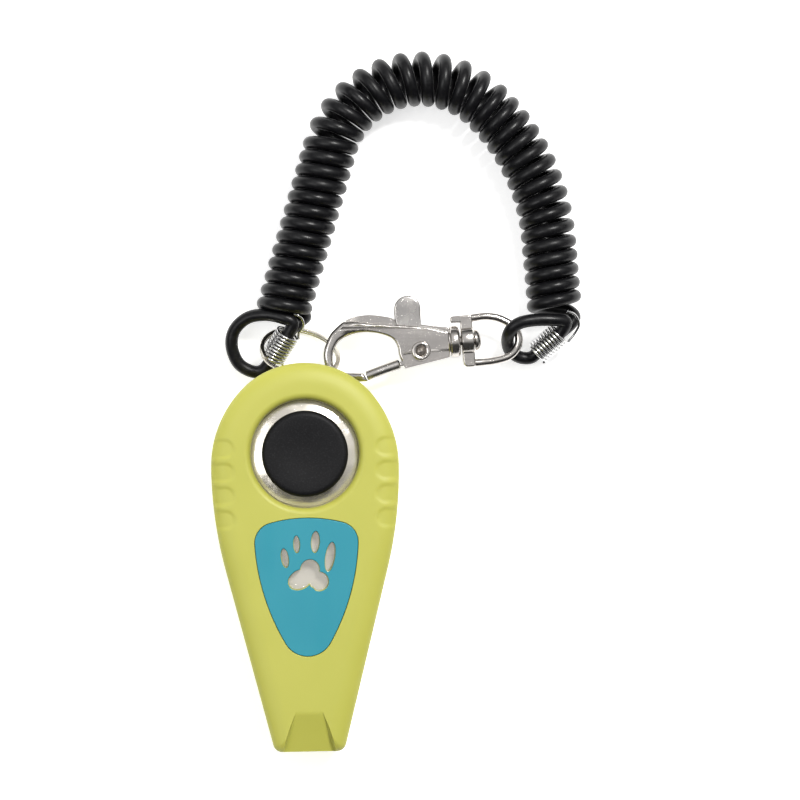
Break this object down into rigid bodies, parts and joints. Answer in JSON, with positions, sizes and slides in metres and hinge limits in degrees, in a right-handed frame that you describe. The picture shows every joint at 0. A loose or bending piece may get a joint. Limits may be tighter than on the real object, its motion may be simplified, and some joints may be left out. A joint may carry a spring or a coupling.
{
  "type": "clicker trainer",
  "caption": "Thumb clicker for training pets: a two-shell housing with a sprung steel click plate and push button, a coiled wrist strap, a split ring and a swivel snap hook.",
  "frame": {"origin": "on the button's axis, at the housing's flat back face", "axes": "+Z out of the front face (button side), +Y towards the strap end of the housing, +X towards the strap's side loop"},
  "size_m": [0.0726, 0.1352, 0.0168],
  "materials": {
    "lime_plastic": "satin moulded lime ABS",
    "teal_plastic": "semi-gloss moulded teal ABS",
    "spring_steel": "fine brushed spring steel",
    "screw_steel": "zinc plated",
    "button_plastic": "fine textured black",
    "retainer_steel": "stamped spring steel",
    "pin_steel": "plain ground steel",
    "ring_steel": "nickel plated",
    "cord_pu": "satin black polyurethane",
    "clamp_steel": "nickel plated wire",
    "hook_nickel": "tumbled nickel plate",
    "gate_nickel": "worn nickel plate"
  },
  "bodies": {
    "housing": {"front_shell": "lime_plastic", "back_shell": "lime_plastic", "paw_plate": "teal_plastic", "click_plate": "spring_steel", "plate_screws": "screw_steel", "housing_screws": "screw_steel"},
    "button": {"button_cap": "button_plastic", "button_retainer": "retainer_steel"},
    "pin": {"lanyard_pin": "pin_steel"},
    "ring": {"split_ring": "ring_steel"},
    "strap": {"coil_cord": "cord_pu", "left_cord_clamp": "clamp_steel", "right_cord_clamp": "clamp_steel"},
    "bail": {"swivel_bail": "hook_nickel"},
    "hook": {"hook_frame": "hook_nickel", "swivel_pin": "hook_nickel", "gate_rivet": "hook_nickel", "gate_spring": "screw_steel"},
    "gate": {"gate_lever": "gate_nickel"}
  },
  "joints": [
    {"name": "button_press", "type": "slide", "parent": "housing", "child": "button", "axis": [0, 0, -1], "range_m": [0, 0.0012], "stiffness_N_per_m": 3000, "springref_m": -0.0002, "deforming": ["click_plate"]},
    {"name": "pin_turn", "type": "hinge", "parent": "housing", "child": "pin", "pos_m": [0.00095, 0.01625, 0.009], "axis": [0, 0, 1], "range_deg": [-8, 8]},
    {"name": "ring_lift", "type": "hinge", "parent": "pin", "child": "ring", "pos_m": [0.00095, 0.0152, 0.0123], "axis": [1, 0, 0], "range_deg": [0, 45]},
    {"name": "strap_fold", "type": "hinge", "parent": "ring", "child": "strap", "pos_m": [-0.003, 0.0224, 0.0053], "axis": [0.9824, -0.1694, 0.079], "range_deg": [-5, 14]},
    {"name": "bail_turn", "type": "hinge", "parent": "strap", "child": "bail", "pos_m": [0.02942, 0.02116, 0.0061], "axis": [0.9975, 0.0705, 0], "range_deg": [-50, 4]},
    {"name": "swivel", "type": "hinge", "parent": "bail", "child": "hook", "pos_m": [0.02942, 0.02116, 0.0061], "axis": [0.9975, 0.0705, 0], "range_deg": [-4, 50]},
    {"name": "gate_open", "type": "hinge", "parent": "hook", "child": "gate", "pos_m": [0.02299, 0.01947, 0.0061], "axis": [0, 0, -1], "range_deg": [0, 30], "stiffness_Nm_per_rad": 0.01, "springref_deg": -5.73, "deforming": ["gate_spring"]}
  ],
  "couplings": [
    {"joint": "swivel", "follows": "bail_turn", "ratio": -1}
  ]
}
